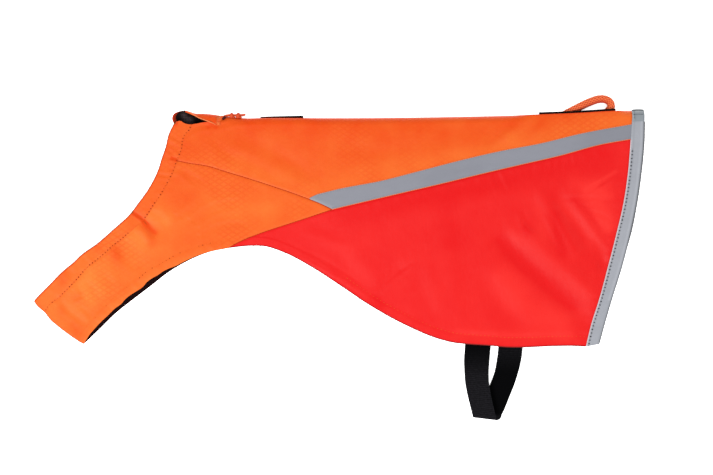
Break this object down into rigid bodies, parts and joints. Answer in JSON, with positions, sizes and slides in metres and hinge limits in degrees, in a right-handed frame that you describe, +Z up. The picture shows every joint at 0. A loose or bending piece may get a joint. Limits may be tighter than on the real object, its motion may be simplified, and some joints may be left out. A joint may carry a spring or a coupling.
{
  "type": "dog protective vest",
  "caption": "Sleeveless dog vest laid flat on its right side, with a long chest band, a reflective stripe and hem, a rope loop at the back slit and a webbing belly strap.",
  "frame": {"origin": "on the surface it lies on, under the middle of the vest without its cords", "axes": "+X from the chest band toward the tail, +Y toward the back seam, +Z up from the surface"},
  "size_m": [0.648, 0.3446, 0.0148],
  "materials": {
    "orange_ripstop": "satin ripstop with a fine diamond grid",
    "red_shell": "smooth satin shell cloth",
    "grey_tape": "retroreflective grey tape",
    "black_webbing": "ribbed matte webbing",
    "dark_lining": "matte dark lining",
    "orange_rope": "braided cord"
  },
  "bodies": {
    "root": {"back_left": "orange_ripstop", "back_right": "orange_ripstop", "side_left": "red_shell", "side_right": "red_shell", "chest_panel": "orange_ripstop", "chest_lining": "dark_lining", "neck_casing": "orange_ripstop", "nape_casing": "orange_ripstop", "nape_facing": "dark_lining", "stripe_left": "grey_tape", "stripe_right": "grey_tape", "hem_binding_left": "grey_tape", "hem_binding_right": "grey_tape", "hem_binding_join": "grey_tape", "slit_tape_front": "black_webbing", "slit_tape_rear": "black_webbing", "belly_strap": "black_webbing", "rope_loop": "orange_rope", "drawcord": "orange_rope", "drawcord_knot_a": "orange_rope", "drawcord_knot_b": "orange_rope"}
  },
  "joints": []
}
